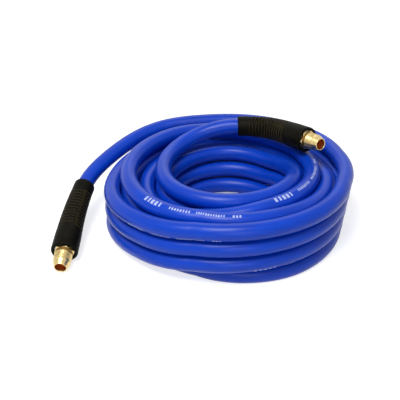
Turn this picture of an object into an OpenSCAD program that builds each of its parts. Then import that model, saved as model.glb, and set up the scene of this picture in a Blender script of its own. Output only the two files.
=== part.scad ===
// Coiled air hose with a threaded male nipple and a slotted bend restrictor on each end.
// Frame: millimetres, +Z up, the hose lies on Z = 0 and the origin is under the middle of its box.

/* [Hose] */
// Outer diameter of the hose
hose_d = 16; // [14:0.5:17]
// Bore of the hose
hose_bore_d = 9.5; // [9:0.5:10.5]

/* [Coil] */
// Radius of the innermost column of loops, to the middle of the hose
eye_r = 61.3; // [58:0.1:66]
// Number of columns of loops, side by side
columns = 4; // [2:2:4]
// Number of layers of loops, one on another
layers = 4; // [3:1:4]
// Clearance between neighbouring columns
column_gap = 0.8; // [0.8:0.1:1.4]
// Clearance between neighbouring layers
layer_gap = 1.2; // [1.1:0.1:1.8]
// How far each layer leans outwards over the one below
layer_lean = 1; // [0:0.1:1.5]
// How far each layer is shifted sideways over the one below
layer_shift = 1.2; // [0:0.1:1.5]
// Extra lean of the middle layers at the back of the coil
back_lean = 3.5; // [0:0.5:4]
// How far all the loops stand out at the right of the coil
right_bulge = 1; // [0:0.5:3]

/* [Bend restrictor] */
// Length of the part that bends with the hose
flex_len = 56; // [50:1:64]
// Outer diameter where the part that bends meets the straight grip
flex_d = 23.6; // [22.6:0.1:24]
// Outer diameter of the smooth collar
collar_d = 20.8; // [20:0.1:21.4]
// Smooth collar at the hose end
collar_len = 11; // [8:1:14]
// Distance from one ring of slots to the next but one
slot_pitch = 4; // [3.6:0.1:5]
// Width of a slot
slot_w = 1.2; // [0.8:0.1:1.3]
// Depth of a slot
slot_depth = 1.3; // [0.8:0.1:1.5]
// Arc that each slot takes of the circle
slot_arc = 108; // [90:2:120]
// Length of the straight part over the ferrule
grip_len = 34; // [32:1:40]
// Outer diameter of the straight part at its mouth
grip_d = 25.2; // [24.6:0.1:26]
// Outer diameter of the straight part at its shoulder
shoulder_d = 24.9; // [24.2:0.1:25]
// Length of the cone from the shoulder down to the part that bends
cone_len = 15; // [12:1:18]
// Radius of the rounded edge at the mouth
mouth_round = 1.8; // [0.8:0.1:2]
// Clearance of the restrictor on the hose and on the ferrule, on the radius
restrictor_gap = 0.1; // [0.05:0.05:0.3]

/* [Ferrule] */
// Wall of the crimped ferrule
ferrule_wall = 1.1; // [0.8:0.1:1.3]
// Length of the ferrule
ferrule_len = 22; // [19:1:24]
// Thickness of the lip that holds the ferrule on the nipple
ferrule_lip = 2; // [1.5:0.1:2.5]
// Number of crimp grooves
crimps = 3; // [2:1:4]
// Clearance of the ferrule on the hose, on the radius
ferrule_gap = 0.05; // [0.02:0.01:0.1]

/* [Nipple] */
// Crest diameter of the male thread, at the middle of its taper
thread_d = 16.4; // [15.8:0.1:16.6]
// Length of the thread
thread_len = 9; // [7:0.5:11]
// Length of the cone in front of the thread
nose_len = 6; // [4:0.5:8]
// Outer diameter at the mouth
nose_d = 13.2; // [12.8:0.1:14]
// Bore at the mouth
mouth_bore_d = 10.5; // [9.5:0.1:11]
// Depth of the bore at the mouth
mouth_bore_depth = 13; // [10:0.5:14]
// Bore of the tail
tail_bore_d = 7; // [6:0.1:7.4]
// Wall of the tail under its barbs
tail_wall = 0.8; // [0.6:0.1:0.9]
// Number of barbs on the tail
barbs = 5; // [3:1:6]
// Clearance of the barbs in the hose, on the radius
barb_gap = 0.05; // [0.02:0.01:0.1]
// Hexagon across its flats
hex_af = 17; // [16.5:0.1:17]
// Thickness of the hexagon
hex_len = 4; // [3:0.5:5]
// Depth that the hexagon sits in the mouth of the restrictor
hex_seat = 2; // [1:0.5:2.5]
// Width of the undercut between the hexagon and the thread
undercut_w = 1.5; // [1:0.1:2]

/* [Hidden] */

hose_blue = "royalblue";
rubber_black = "#1c1c1e";
brass = "#d9b25a";
steel = "silver";
round_fn = 96;

hose_r = hose_d / 2;
hose_bore_r = hose_bore_d / 2;

// ---- The coil's winding ----
// The hose winds down the innermost column, up the next, down and up again. Each loop lies flat
// in its place and moves on by one place over a fixed arc of every turn. Angles are in degrees
// round +Z from +X, and go on counting from turn to turn.
column_step = hose_d + column_gap;
layer_step = hose_d + layer_gap;
pair_turns = 2 * layers - 1;
pairs = columns / 2;
drop_at = [375, 345];   // by pair: middle of the arc in which a loop goes down one layer
drop_arc = [86, 140];
rise_at = [255, 225];   // by pair: middle of the arc in which a loop goes up one layer
rise_arc = [100, 120];
under_at = [300, 270];  // by pair: middle of the arc in which the hose crosses on the floor
under_arc = 80;
over_at = 95;           // middle of the arc in which it crosses to the next pair on the top
over_arc = 80;
ramp_round = 0.25;      // share of each arc that eases in, and that eases out
coil_start = 165;       // the end that goes to sleeve B, on the top layer
coil_end = pairs * pair_turns * 360 + 105;  // the end that goes to sleeve A
rings_per_loop = 24;
coil_sides = 6;
lead_sides = 12;
floor_cut = hose_d / 10;
coil_floor_z = hose_r - floor_cut;

function clamp01(t) = min(1, max(0, t));
function ease(t) =
    let (e = ramp_round, k = 1 / (1 - e))
    t < e ? k * t * t / (2 * e)
    : t > 1 - e ? 1 - k * (1 - t) * (1 - t) / (2 * e)
    : k * (t - e / 2);
function ramp(angle, at, arc) = ease(clamp01((angle - at) / arc + 0.5));
function sum(list, i = 0) = i < len(list) ? list[i] + sum(list, i + 1) : 0;
function turn_of(pair, i) = (pair * pair_turns + i) * 360;

function layer_at(angle) =
    layers - 1
    - sum([for (k = [0:pairs - 1], i = [0:layers - 2])
        ramp(angle, turn_of(k, i) + drop_at[k], drop_arc[k])])
    + sum([for (k = [0:pairs - 1], i = [0:layers - 2])
        ramp(angle, turn_of(k, i + layers) + rise_at[k], rise_arc[k])]);
function column_at(angle) =
    sum([for (k = [0:pairs - 1]) ramp(angle, turn_of(k, layers - 1) + under_at[k], under_arc)])
    + sum([for (k = [0:pairs - 1]) k > 0 ? ramp(angle, turn_of(k, 0) + over_at, over_arc) : 0]);

// How far through its step to another layer a column is, at an angle of every turn
function in_turn(angle, at) = (angle - at + 540) % 360 - 180;
function step_at(column, angle) =
    let (k = floor(column / 2))
    column % 2 == 0 ? -ramp(in_turn(angle, drop_at[k]), 0, drop_arc[k])
    : ramp(in_turn(angle, rise_at[k]), 0, rise_arc[k]);
// How far a column is from the one inside it: closer where their loops lie half a layer apart
function column_width(column, angle) =
    let (off = abs((step_at(column - 1, angle) - step_at(column, angle) + 2.5) % 1 - 0.5))
    sqrt(pow(column_step, 2) - pow(layer_step * off, 2)) + (layer_lean + layer_shift) * off;
function column_out(column, angle) =
    column < 1 ? 0 : column_out(column - 1, angle) + column_width(column, angle);
function out_at(angle) =
    let (column = column_at(angle), inner = min(floor(column), columns - 2))
    column_out(inner, angle) * (1 - column + inner)
    + column_out(inner + 1, angle) * (column - inner);
function coil_point(angle) =
    let (
        layer = layer_at(angle),
        top = layers - 1,
        back = pow(max(0, sin(angle)), 3) * layer * layer * (top - layer) / 2,
        right = pow(max(0, cos(angle)), 2),
        r = eye_r + out_at(angle) + layer_lean * layer + back_lean * back + right_bulge * right
    )
    [
        r * cos(angle) - layer_shift * (top - layer),
        r * sin(angle),
        coil_floor_z + layer_step * layer
    ];

function unit(v) = v / norm(v);
ring_step = 360 / rings_per_loop;
winding = [for (a = [coil_start:ring_step:coil_end]) coil_point(a)];
last = len(winding) - 1;
start_dir = unit(winding[0] - winding[1]);
end_dir = unit(winding[last] - winding[last - 1]);
coil_path = concat([winding[0] + start_dir * hose_d], winding, [winding[last] + end_dir * hose_d]);

// ---- The two fittings ----
// A fitting's own frame has its origin in the middle of the restrictor's mouth and +Z out along
// the nipple. Behind the straight grip the hose bends towards the frame's +X.
top_z = coil_floor_z + layer_step * (layers - 1);
outer_r = eye_r + column_step * (columns - 1);
grip_r = grip_d / 2;
flex_r = flex_d / 2;
floor_gap = 0.3;
heading_a = 268;
pitch_a = -14;
bend_a = 8;
roll_a = 9;
heading_b = 307;
pitch_b = 7;
bend_b = 54.5;
roll_b = 4;
mouth_a_out = 40.6;  // from the middle of the outermost column to the mouth of sleeve A
mouth_a_y = -78.3;
mouth_a_z = floor_gap + (grip_r - mouth_round) * cos(pitch_a) + mouth_round * (1 + sin(pitch_a));
mouth_b_out = 17.1;  // from the middle of the innermost column to the mouth of sleeve B
mouth_b_y = 16.3;
mouth_b_up = 15.9;   // from the top of the top layer
mouth_a = [-outer_r - mouth_a_out, mouth_a_y, mouth_a_z];
mouth_b = [eye_r + mouth_b_out, mouth_b_y, top_z + hose_r + mouth_b_up];

// The rows are the frame's X, Y and Z in the coil's frame: Z has the heading and pitch given, and
// X lies to the right of the way back along the hose, tipped by the roll.
function fitting_axes(heading, pitch, roll, side) =
    let (
        z = [cos(pitch) * cos(heading), cos(pitch) * sin(heading), sin(pitch)],
        flat = side * [sin(heading), -cos(heading), 0],
        lift = [-sin(pitch) * cos(heading), -sin(pitch) * sin(heading), cos(pitch)],
        x = cos(roll) * flat + sin(roll) * lift
    )
    [x, cross(z, x), z];
axes_a = fitting_axes(heading_a, pitch_a, roll_a, -1);
axes_b = fitting_axes(heading_b, pitch_b, roll_b, 1);
function bend_radius(bend) = flex_len / (bend * PI / 180);
function to_coil(axes, origin, p) = origin + axes[0] * p.x + axes[1] * p.y + axes[2] * p.z;
function hose_face(bend) =
    let (r = bend_radius(bend))
    [r * (1 - cos(bend)), 0, -grip_len - r * sin(bend)];
function hose_way(axes, bend) = axes[0] * sin(bend) - axes[2] * cos(bend);

// ---- The free stretches ----
lead_a_turns = [[-83, 99, -4], [-115, 65, -10]];  // heights from the top layer
lead_b_turns = [[-44, 55, 3], [-18, 68, 11]];
lead_steps = 2;
face_a = to_coil(axes_a, mouth_a, hose_face(bend_a));
face_b = to_coil(axes_b, mouth_b, hose_face(bend_b));
function from_top(points) = [for (p = points) p + [0, 0, top_z]];
lead_a_points = concat([coil_path[len(coil_path) - 1]], from_top(lead_a_turns), [face_a]);
lead_b_points = concat([coil_path[0]], from_top(lead_b_turns), [face_b]);
lead_a_path = smooth(lead_a_points, end_dir, -hose_way(axes_a, bend_a), lead_steps);
lead_b_path = smooth(lead_b_points, start_dir, -hose_way(axes_b, bend_b), lead_steps);

// A cubic through all the points, which leaves the first and meets the last in the ways given
function slope(points, i, first, final) =
    i == 0 ? first * norm(points[1] - points[0])
    : i == len(points) - 1 ? final * norm(points[i] - points[i - 1])
    : (points[i + 1] - points[i - 1]) / 2;
function blend(a, slope_a, b, slope_b, t) =
    (2 * t * t * t - 3 * t * t + 1) * a + (t * t * t - 2 * t * t + t) * slope_a
    + (3 * t * t - 2 * t * t * t) * b + (t * t * t - t * t) * slope_b;
function smooth(points, first, final, steps) =
    [
        for (i = [0:len(points) - 2], j = [0:steps - 1])
            blend(
                points[i], slope(points, i, first, final),
                points[i + 1], slope(points, i + 1, first, final), j / steps
            ),
        points[len(points) - 1]
    ];

// ---- Swept tubes ----
function path_dir(path, i, first, final) =
    i == 0 ? first
    : i == len(path) - 1 ? final
    : unit(unit(path[i + 1] - path[i]) + unit(path[i] - path[i - 1]));
function ring(centre, dir, r, sides, turn) =
    let (side = unit(cross(dir, [0, 0, 1])), up = cross(side, dir))
    [for (k = [0:sides - 1])
        let (a = 360 * k / sides + turn, p = centre + r * (cos(a) * side + sin(a) * up))
        [p.x, p.y, max(0, p.z)]];
function tube_points(path, first, final, r, sides) =
    [for (i = [0:len(path) - 1]) ring(path[i], path_dir(path, i, first, final), r, sides, 0)];
function tube_faces(rings, sides) =
    let (end = (rings - 1) * sides)
    concat(
        [for (k = [1:sides - 2]) [0, k + 1, k]],
        [for (i = [0:rings - 2], k = [0:sides - 1])
            let (a = i * sides + k, b = i * sides + (k + 1) % sides)
            each [[a, b, a + sides], [b, b + sides, a + sides]]],
        [for (k = [1:sides - 2]) [end, end + k, end + k + 1]]
    );

module swept_tube(path, first, final, sides) {
    rings = tube_points(path, first, final, hose_r, sides);
    polyhedron([for (r = rings) each r], tube_faces(len(path), sides), convexity = 20);
}

// ---- The place of the whole ----
coil_rings = tube_points(coil_path, -start_dir, end_dir, hose_r, coil_sides);
function disc_low_x(axes, origin, z, r) =
    to_coil(axes, origin, [0, 0, z]).x - r * sqrt(1 - pow(axes[2].x, 2));
low_x = min(
    disc_low_x(axes_a, mouth_a, -mouth_round, grip_r),
    disc_low_x(axes_a, mouth_a, cone_len - grip_len, shoulder_d / 2)
);
high_x = max([for (r = coil_rings, p = r) p.x]);
low_y = min([for (r = coil_rings, p = r) p.y]);
high_y = max([for (r = coil_rings, p = r) p.y]);
middle = [(low_x + high_x) / 2, (low_y + high_y) / 2, 0];

module in_place() {
    translate(-middle) children();
}
module at_fitting(axes, origin) {
    in_place() multmatrix([
        [axes[0].x, axes[1].x, axes[2].x, origin.x],
        [axes[0].y, axes[1].y, axes[2].y, origin.y],
        [axes[0].z, axes[1].z, axes[2].z, origin.z],
        [0, 0, 0, 1]
    ]) children();
}

// ---- Measured on points: the least gap of the wound hose to itself, and its length ----
half_loop = rings_per_loop;
marks = [for (i = [0:last - 1]) each [winding[i], (winding[i] + winding[i + 1]) / 2]];
least_gap = min([for (i = [0:len(marks) - half_loop - 1])
    min([for (j = [i + half_loop:len(marks) - 1]) norm(marks[i] - marks[j])])]) - hose_d;
function path_len(path) = sum([for (i = [1:len(path) - 1]) norm(path[i] - path[i - 1])]);
echo(least_gap_of_the_coil_to_itself = least_gap);
echo(coil_length = path_len(coil_path), loops = (coil_end - coil_start) / 360);
echo(lead_lengths = [path_len(lead_a_path), path_len(lead_b_path)], fitting = flex_len + grip_len);
echo(thread_a = to_coil(axes_a, mouth_a, [0, 0, thread_mid]) - middle, axis_a = axes_a[2]);
echo(thread_b = to_coil(axes_b, mouth_b, [0, 0, thread_mid]) - middle, axis_b = axes_b[2]);
echo(middle = middle, face_a = face_a, face_b = face_b);

// ---- Hose ----
module hose_coil() {
    color(hose_blue) in_place() swept_tube(coil_path, -start_dir, end_dir, coil_sides);
}
module hose_lead_a() {
    color(hose_blue) in_place()
        swept_tube(lead_a_path, end_dir, -hose_way(axes_a, bend_a), lead_sides);
}
module hose_lead_b() {
    color(hose_blue) in_place()
        swept_tube(lead_b_path, start_dir, -hose_way(axes_b, bend_b), lead_sides);
}

// Carries a flat section along the part that bends, from one length along it to another
module along_bend(bend, from, to) {
    r = bend_radius(bend);
    per_mm = bend / flex_len;
    translate([r, 0, -grip_len])
        multmatrix([[-1, 0, 0, 0], [0, 0, -1, 0], [0, -1, 0, 0], [0, 0, 0, 1]])
            rotate([0, 0, from * per_mm])
                rotate_extrude(angle = (to - from) * per_mm, $fn = round_fn)
                    translate([r, 0]) children();
}
module pipe_section(outer, inner) {
    difference() {
        circle(outer, $fn = round_fn);
        circle(inner, $fn = round_fn);
    }
}

hose_stop_z = -hex_seat - ferrule_lip;
module hose_end(bend) {
    color(hose_blue) {
        along_bend(bend, 0, flex_len) pipe_section(hose_r, hose_bore_r);
        translate([0, 0, -grip_len]) linear_extrude(grip_len + hose_stop_z)
            pipe_section(hose_r, hose_bore_r);
    }
}

// ---- Bend restrictor ----
ferrule_r = hose_r + ferrule_gap + ferrule_wall;
hex_corner_r = hex_af / 2 / cos(30);
mouth_recess_r = hex_corner_r + 0.3;
sleeve_r = hose_r + restrictor_gap;
grip_bore_r = ferrule_r + restrictor_gap;
collar_r = collar_d / 2;
taper_len = flex_len - collar_len;
taper_steps = floor(taper_len / slot_pitch);
slot_rows = 2 * taper_steps - 2;
joint_lap = 0.4;    // the straight grip goes this far over the part that bends
joint_step = 0.05;  // and stands this far off it on the radius

// Outer radius of the part that bends, at a length from the grip
function taper_r(x) = flex_r + (collar_r - flex_r) * clamp01(x / taper_len);

module wedge(arc, r) {
    reach = 2 * r;
    polygon([
        [0, 0],
        reach * [cos(arc / 2), -sin(arc / 2)],
        reach * [1, 0],
        reach * [cos(arc / 2), sin(arc / 2)]
    ]);
}
module slot_section(floor_r) {
    intersection() {
        pipe_section(flex_r + 1, floor_r);
        wedge(slot_arc, flex_r + 1);
    }
}
// Slots in pairs, each pair a quarter turn round from the pair before
module slots(bend) {
    for (row = [0:slot_rows - 1], half = [0, 180]) {
        from = slot_pitch / 2 + row * slot_pitch / 2;
        along_bend(bend, from, from + slot_w)
            rotate([0, 0, half + 90 * (row % 2)]) slot_section(taper_r(from) - slot_depth);
    }
}
// The taper goes down by a small step under every other row of slots
module tapered_bend(bend) {
    wall_mid_r = (sleeve_r + collar_r) / 2;
    along_bend(bend, 0, flex_len) pipe_section(collar_r, sleeve_r);
    for (i = [0:taper_steps - 1]) {
        to = slot_pitch * (i + 1) + slot_w / 2;
        along_bend(bend, 0, to) pipe_section(taper_r(to - slot_pitch / 2), wall_mid_r);
    }
}
grip_in_r = sleeve_r + joint_step;
module grip_profile() {
    polygon(concat(
        [
            [grip_in_r, -grip_len - joint_lap], [flex_r + joint_step, -grip_len - joint_lap],
            [shoulder_d / 2, cone_len - grip_len]
        ],
        [for (a = [0:15:90])
            [grip_r - mouth_round * (1 - cos(a)), -mouth_round * (1 - sin(a))]],
        [
            [mouth_recess_r, 0], [mouth_recess_r, -hex_seat], [grip_bore_r, -hex_seat],
            [grip_bore_r, -hex_seat - ferrule_len], [grip_in_r, -hex_seat - ferrule_len]
        ]
    ));
}
module bend_restrictor(bend) {
    color(rubber_black) {
        difference() {
            tapered_bend(bend);
            slots(bend);
        }
        rotate_extrude($fn = round_fn) grip_profile();
    }
}

// ---- Ferrule ----
crimp_depth = 0.35;
module ferrule() {
    inner = hose_r + ferrule_gap;
    back = -hex_seat - ferrule_len;
    groove = (ferrule_len - ferrule_lip) / (2 * crimps + 1);
    color(steel) rotate_extrude($fn = round_fn) difference() {
        polygon([
            [inner, back], [ferrule_r, back], [ferrule_r, -hex_seat],
            [neck_r + ferrule_gap, -hex_seat], [neck_r + ferrule_gap, hose_stop_z],
            [inner, hose_stop_z]
        ]);
        for (i = [0:crimps - 1]) {
            low = back + groove * (2 * i + 1);
            translate([ferrule_r - crimp_depth, low]) square([1, groove]);
        }
    }
}

// ---- Nipple ----
tail_bore_r = tail_bore_d / 2;
tail_r = tail_bore_r + tail_wall;
barb_r = hose_bore_r - barb_gap;
neck_r = tail_r;
thread_r = thread_d / 2;
undercut_r = thread_r - 1;
thread_from = hex_len - hex_seat + undercut_w;
thread_mid = thread_from + thread_len / 2;
nose_z = thread_from + thread_len + nose_len;
tail_end = -hex_seat - ferrule_len;
barb_pitch = (hose_stop_z - tail_end) / barbs;
hex_chamfer = 0.6;

module nipple_profile() {
    polygon(concat(
        [[0, tail_end]],
        [for (i = [0:barbs - 1]) each [
            [tail_r, tail_end + i * barb_pitch],
            [barb_r, tail_end + (i + 0.75) * barb_pitch],
            [tail_r, tail_end + (i + 0.8) * barb_pitch]
        ]],
        [
            [tail_r, hose_stop_z], [neck_r, -hex_seat], [undercut_r, -hex_seat],
            [undercut_r, thread_from], [thread_r, thread_from],
            [thread_r, thread_from + thread_len], [nose_d / 2, nose_z], [0, nose_z]
        ]
    ));
}
module hexagon() {
    intersection() {
        translate([0, 0, -hex_seat]) cylinder(r = hex_corner_r, h = hex_len, $fn = 6);
        translate([0, 0, -hex_seat]) rotate_extrude($fn = round_fn) polygon([
            [0, 0], [hex_corner_r + 0.1, 0], [hex_corner_r + 0.1, hex_len - hex_chamfer],
            [hex_corner_r - 2 * hex_chamfer, hex_len], [0, hex_len]
        ]);
    }
}
module nipple() {
    color(brass) difference() {
        union() {
            rotate_extrude($fn = round_fn) nipple_profile();
            hexagon();
        }
        translate([0, 0, tail_end - 1])
            cylinder(r = tail_bore_r, h = nose_z - tail_end + 2, $fn = round_fn);
        translate([0, 0, nose_z - mouth_bore_depth])
            cylinder(r = mouth_bore_d / 2, h = mouth_bore_depth + 1, $fn = round_fn);
    }
}

module hose_end_a() { at_fitting(axes_a, mouth_a) hose_end(bend_a); }
module hose_end_b() { at_fitting(axes_b, mouth_b) hose_end(bend_b); }
module bend_restrictor_a() { at_fitting(axes_a, mouth_a) bend_restrictor(bend_a); }
module bend_restrictor_b() { at_fitting(axes_b, mouth_b) bend_restrictor(bend_b); }
module ferrule_a() { at_fitting(axes_a, mouth_a) ferrule(); }
module ferrule_b() { at_fitting(axes_b, mouth_b) ferrule(); }
module nipple_a() { at_fitting(axes_a, mouth_a) nipple(); }
module nipple_b() { at_fitting(axes_b, mouth_b) nipple(); }

hose_coil();
hose_lead_a();
hose_lead_b();
hose_end_a();
hose_end_b();
bend_restrictor_a();
bend_restrictor_b();
ferrule_a();
ferrule_b();
nipple_a();
nipple_b();
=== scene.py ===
"""A coiled air hose with a threaded nipple in a slotted bend restrictor on each end."""

import math

import bmesh
import bpy
import numpy as np
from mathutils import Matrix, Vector


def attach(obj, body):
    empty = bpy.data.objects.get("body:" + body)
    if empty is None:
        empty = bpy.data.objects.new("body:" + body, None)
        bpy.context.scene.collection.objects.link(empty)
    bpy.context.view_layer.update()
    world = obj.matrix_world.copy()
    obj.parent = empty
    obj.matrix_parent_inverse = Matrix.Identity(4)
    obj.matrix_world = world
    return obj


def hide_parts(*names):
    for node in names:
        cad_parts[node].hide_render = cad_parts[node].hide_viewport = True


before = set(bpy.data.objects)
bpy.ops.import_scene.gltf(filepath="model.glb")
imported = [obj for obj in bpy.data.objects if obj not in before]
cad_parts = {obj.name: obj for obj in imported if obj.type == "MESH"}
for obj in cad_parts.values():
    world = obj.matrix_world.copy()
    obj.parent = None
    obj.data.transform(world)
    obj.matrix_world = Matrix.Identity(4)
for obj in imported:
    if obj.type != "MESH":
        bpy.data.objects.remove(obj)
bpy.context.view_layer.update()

bl_info = {
    "name": "Coiled air hose",
    "version": (1, 0, 0),
    "blender": (4, 5, 0),
    "location": "3D View > Sidebar > Air hose",
    "description": "Winds an air hose and fits its bend restrictors, nipples and print",
    "category": "Object",
}

MM = 0.001
NEAR = 0.0001 * MM  # two places nearer than this are the same
ROOT = "root"


def srgb(red, green, blue):
    """A colour given from 0 to 255, as the linear numbers that shaders take."""
    parts = [c / 255 for c in (red, green, blue)]
    return tuple(c / 12.92 if c < 0.04045 else ((c + 0.055) / 1.055) ** 2.4 for c in parts)


def number(name, description, value, **more):
    return bpy.props.FloatProperty(name=name, description=description, default=value, **more)


def length(name, description, millimetres):
    return number(name, description, millimetres * MM, unit="LENGTH", precision=5)


def angle(name, description, degrees):
    return number(name, description, math.radians(degrees), subtype="ANGLE")


def colour(name, where, rgb):
    return bpy.props.FloatVectorProperty(
        name=name, description=f"Colour {where}", default=srgb(*rgb), subtype="COLOR", min=0, max=1
    )


def share(name, description, value):
    return number(name, description, value, subtype="FACTOR", min=0, max=1)


def count(name, description, value):
    return bpy.props.IntProperty(name=name, description=description, default=value, min=1)


# ---- Sizes and finishes ----


class HoseSettings(bpy.types.PropertyGroup):
    """The hose and its winding"""

    diameter: length("Diameter", "Outer diameter of the hose", 16)
    bore: length("Bore", "Bore of the hose", 9.5)
    eye: length("Eye radius", "Radius of the innermost column", 61.3)
    columns: count("Columns", "Columns side by side", 4)
    layers: count("Layers", "Layers one on another", 4)
    column_gap: length("Column gap", "Clearance between neighbouring columns", 0.8)
    layer_gap: length("Layer gap", "Clearance between neighbouring layers", 1.2)
    layer_lean: length("Layer lean", "How far each layer leans outwards", 1)
    layer_shift: length("Layer shift", "How far each layer is shifted sideways", 1.2)
    back_lean: length("Back lean", "Lean of the middle layers at the back", 3.5)
    right_bulge: length("Right bulge", "How far the loops stand out at the right", 1)
    sides: count("Sides", "Faces round the hose", 28)
    ring_step: length("Ring step", "Distance between the mesh's rings", 4)
    blue: colour("Blue", "of the hose", (4, 68, 200))
    deep: colour("Deep blue", "where the pigment is thick", (4, 58, 180))
    gloss: share("Roughness", "Roughness of the hose's skin", 0.32)
    shine: share("Shine", "Strength of the skin's reflections", 0.25)


class PrintSettings(bpy.types.PropertyGroup):
    """The plain dashes inked along the hose"""

    period: length("Period", "Distance from one print to the next", 440)
    start: length("Start", "Place of the first print", 424)
    band: length("Band", "Height of the tall dashes", 4.6)
    ink: colour("Ink", "of the ink", (205, 216, 250))
    cover: share("Cover", "How well the ink covers", 0.8)


class RestrictorSettings(bpy.types.PropertyGroup):
    """The slotted rubber bend restrictor"""

    flex: length("Bending length", "Length that bends with the hose", 56)
    flex_diameter: length("Bending diameter", "Diameter where it meets the grip", 23.6)
    collar_diameter: length("Collar diameter", "Diameter at the hose end", 20.8)
    collar: length("Collar", "Length of the smooth collar", 11)
    slot_pitch: length("Slot pitch", "Distance between every other row", 4)
    slot_width: length("Slot width", "Width of a slot", 1.25)
    slot_depth: length("Slot depth", "Depth of a slot", 1.6)
    slot_arc: angle("Slot arc", "Arc that a slot takes", 108)
    slot_edge: length("Slot edge", "Rounding of a slot's edges", 0.28)
    grip: length("Grip", "Length over the ferrule", 34)
    grip_diameter: length("Grip diameter", "Diameter at the mouth", 25.2)
    shoulder_diameter: length("Shoulder diameter", "Diameter at the shoulder", 24.9)
    cone: length("Cone", "Length of the cone behind the shoulder", 15)
    mouth_round: length("Mouth rounding", "Radius of the mouth's rounded edge", 1.8)
    gap: length("Clearance", "Clearance on the hose and the ferrule", 0.1)
    sides: count("Sides", "Faces round the restrictor", 144)
    black: colour("Black", "of the rubber", (11, 10, 5))
    # painted shade: the slots' insides drawn darker than the rubber round them
    shade: colour("Shade", "of the dust in the slots", (11, 9, 6))
    # painted highlight: a pale tan along the lip beyond each slot, for the light that the ribs
    # catch
    highlighted: colour("Highlight", "of the slots' rubbed edges", (84, 76, 52))
    gloss: share("Roughness", "Roughness of the rubber", 0.5)
    shine: share("Shine", "Strength of its reflections", 0.05)
    grip_rows: count("Rows on the grip", "Rows that run on over the grip", 5)


class NippleSettings(bpy.types.PropertyGroup):
    """The turned brass nipple and the crimped ferrule behind it"""

    thread: length("Thread diameter", "Crest diameter at its middle", 16.4)
    thread_length: length("Thread length", "Length of the thread", 9)
    pitch: length("Pitch", "Pitch of the thread", 1.34)
    depth: length("Thread depth", "Depth of the thread", 0.36)
    nose_length: length("Nose length", "Length in front of the thread", 6)
    nose: length("Nose diameter", "Outer diameter at the mouth", 12.2)
    bore: length("Mouth bore", "Bore at the mouth", 10.3)
    bore_depth: length("Mouth bore depth", "Depth of the wide bore", 13)
    tail_bore: length("Tail bore", "Bore of the tail", 7)
    tail_wall: length("Tail wall", "Wall of the tail under its barbs", 0.8)
    barbs: count("Barbs", "Barbs on the tail", 5)
    hex_flats: length("Hexagon", "Hexagon across its flats", 17)
    hex_length: length("Hexagon length", "Thickness of the hexagon", 2.5)
    hex_seat: length("Hexagon seat", "Depth in the restrictor's mouth", 2)
    hex_chamfer: length("Hexagon chamfer", "Chamfer of the hexagon's front", 0.6)
    undercut: length("Undercut", "Width of the undercut behind the thread", 3)
    ferrule_length: length("Ferrule length", "Length of the ferrule", 22)
    ferrule_wall: length("Ferrule wall", "Wall of the ferrule", 1.1)
    ferrule_lip: length("Ferrule lip", "Thickness of the ferrule's lip", 2)
    fit: length("Clearance", "Clearance on the hose", 0.05)
    sides: count("Sides", "Faces round the nipple", 144)
    brass: colour("Brass", "of the brass", (222, 198, 138))
    # tarnish and painted shade: darker brass in the undercut and the thread's grooves
    tarnish_and_shade: colour("Tarnish", "of the brass in its grooves", (122, 88, 36))
    copper: colour("Bore", "down the bore", (226, 148, 74))
    steel: colour("Steel", "of the ferrule", (190, 190, 192))
    gloss: share("Roughness", "Roughness of the brass", 0.24)


class StudioSettings(bpy.types.PropertyGroup):
    """The camera, floor and lights"""

    distance: length("Distance", "Distance from the camera to its target", 754.1)
    elevation: angle("Elevation", "Height of the camera above the floor", 29.913)
    target: bpy.props.FloatVectorProperty(
        name="Target",
        description="Point that the camera looks at",
        default=(20.97 * MM, -3.14 * MM, 30 * MM),
        subtype="TRANSLATION",
    )
    lens: number("Lens", "Focal length on a 36 mm sensor", 67.54, unit="CAMERA")
    shift: bpy.props.FloatVectorProperty(
        name="Shift", description="Shift of the frame", size=2, default=(-0.0713, -0.016)
    )
    floor: colour("Floor", "of the floor", (214, 214, 214))
    glow: share("Floor glow", "The floor's own light, to the camera", 0.7)
    eye: length("Eye", "Radius where the floor has no light of its own", 70)
    sky: share("Sky", "Strength of the even light from all round", 0.2)


class AirHoseSettings(bpy.types.PropertyGroup):
    """All sizes and finishes"""

    hose: bpy.props.PointerProperty(type=HoseSettings)
    ink: bpy.props.PointerProperty(type=PrintSettings)
    restrictor: bpy.props.PointerProperty(type=RestrictorSettings)
    nipple: bpy.props.PointerProperty(type=NippleSettings)
    studio: bpy.props.PointerProperty(type=StudioSettings)


def settings():
    return bpy.context.scene.air_hose


# ---- Node trees ----


class Value:
    """A number in a node tree. Arithmetic on it adds Math nodes."""

    def __init__(self, net, socket):
        self.net, self.socket = net, socket

    def math(self, operation, *others):
        sockets = dict(enumerate((self, *others)))
        return self.net.value("ShaderNodeMath", sockets, operation=operation)

    def __add__(self, other):
        return self.math("ADD", other)

    def __sub__(self, other):
        return self.math("SUBTRACT", other)

    def __rsub__(self, other):
        return self.net.value("ShaderNodeMath", {0: other, 1: self}, operation="SUBTRACT")

    def __mul__(self, other):
        return self.math("MULTIPLY", other)

    def __truediv__(self, other):
        return self.math("DIVIDE", other)

    def __abs__(self):
        return self.math("ABSOLUTE")

    __radd__ = __add__
    __rmul__ = __mul__

    def floor(self):
        return self.math("FLOOR")

    def fract(self):
        return self.math("FRACT")

    def sin(self):
        return self.math("SINE")

    def cos(self):
        return self.math("COSINE")

    def rises(self, low, high):
        """0 below low, 1 above high, with a smooth step between them."""
        sockets = {"Value": self, "From Min": low, "From Max": high}
        return self.net.value("ShaderNodeMapRange", sockets, interpolation_type="SMOOTHSTEP")

    def between(self, low, high, soft):
        """1 between low and high, which are numbers, and 0 outside, with soft edges."""
        half = soft / 2
        return self.rises(low - half, low + half) * (1 - self.rises(high - half, high + half))


# Sockets of a Mix node for colours, which shares their names with its other kinds
MIX_LOW, MIX_HIGH, MIX_COLOUR = 6, 7, 2


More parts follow.
